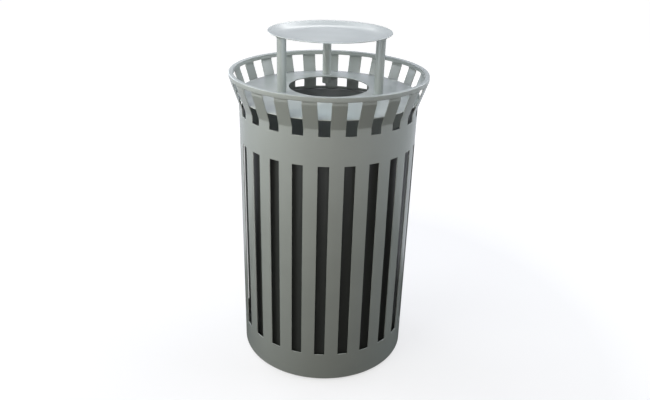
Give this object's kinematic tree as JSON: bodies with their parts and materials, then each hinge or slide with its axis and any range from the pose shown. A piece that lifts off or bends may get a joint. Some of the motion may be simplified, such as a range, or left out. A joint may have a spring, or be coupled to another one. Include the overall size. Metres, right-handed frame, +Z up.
{
  "type": "outdoor litter bin",
  "caption": "Round slotted-steel outdoor litter bin with a flared rim, a lift-off lid under a rain bonnet on posts, a plastic liner and levelling feet.",
  "frame": {"origin": "centre of the footprint on the floor, under the levelling feet", "axes": "+Z up, front towards -Y, +X to the right seen from the front"},
  "size_m": [0.5599, 0.56, 0.992],
  "materials": {
    "powder_coat": "semi-gloss silver-grey powder coat",
    "liner_plastic": "satin black moulded polyethylene",
    "foot_plastic": "matt black nylon",
    "zinc_plate": "bright zinc plate"
  },
  "bodies": {
    "root": {"body_shell": "powder_coat", "rim_ring": "powder_coat", "base_plate": "powder_coat", "weld_nuts": "zinc_plate", "jam_nuts": "zinc_plate"},
    "lid": {"lid_plate": "powder_coat", "post_left": "powder_coat", "post_right": "powder_coat", "post_back": "powder_coat", "bonnet": "powder_coat"},
    "liner": {"liner": "liner_plastic"},
    "foot_front": {"foot_stud_front": "zinc_plate", "foot_pad_front": "foot_plastic"},
    "foot_right": {"foot_stud_right": "zinc_plate", "foot_pad_right": "foot_plastic"},
    "foot_left": {"foot_stud_left": "zinc_plate", "foot_pad_left": "foot_plastic"}
  },
  "joints": [
    {"name": "lid_lift", "type": "slide", "parent": "root", "child": "lid", "axis": [0, 0, 1], "range_m": [0, 1]},
    {"name": "liner_lift", "type": "slide", "parent": "root", "child": "liner", "axis": [0, 0, 1], "range_m": [0, 0.86]},
    {"name": "foot_front_screw", "type": "slide", "parent": "root", "child": "foot_front", "axis": [0, 0, -1], "range_m": [0, 0.008]},
    {"name": "foot_right_screw", "type": "slide", "parent": "root", "child": "foot_right", "axis": [0, 0, -1], "range_m": [0, 0.008]},
    {"name": "foot_left_screw", "type": "slide", "parent": "root", "child": "foot_left", "axis": [0, 0, -1], "range_m": [0, 0.008]}
  ],
  "couplings": [
    {"joint": "liner_lift", "follows": "lid_lift", "ratio": 0.86}
  ]
}
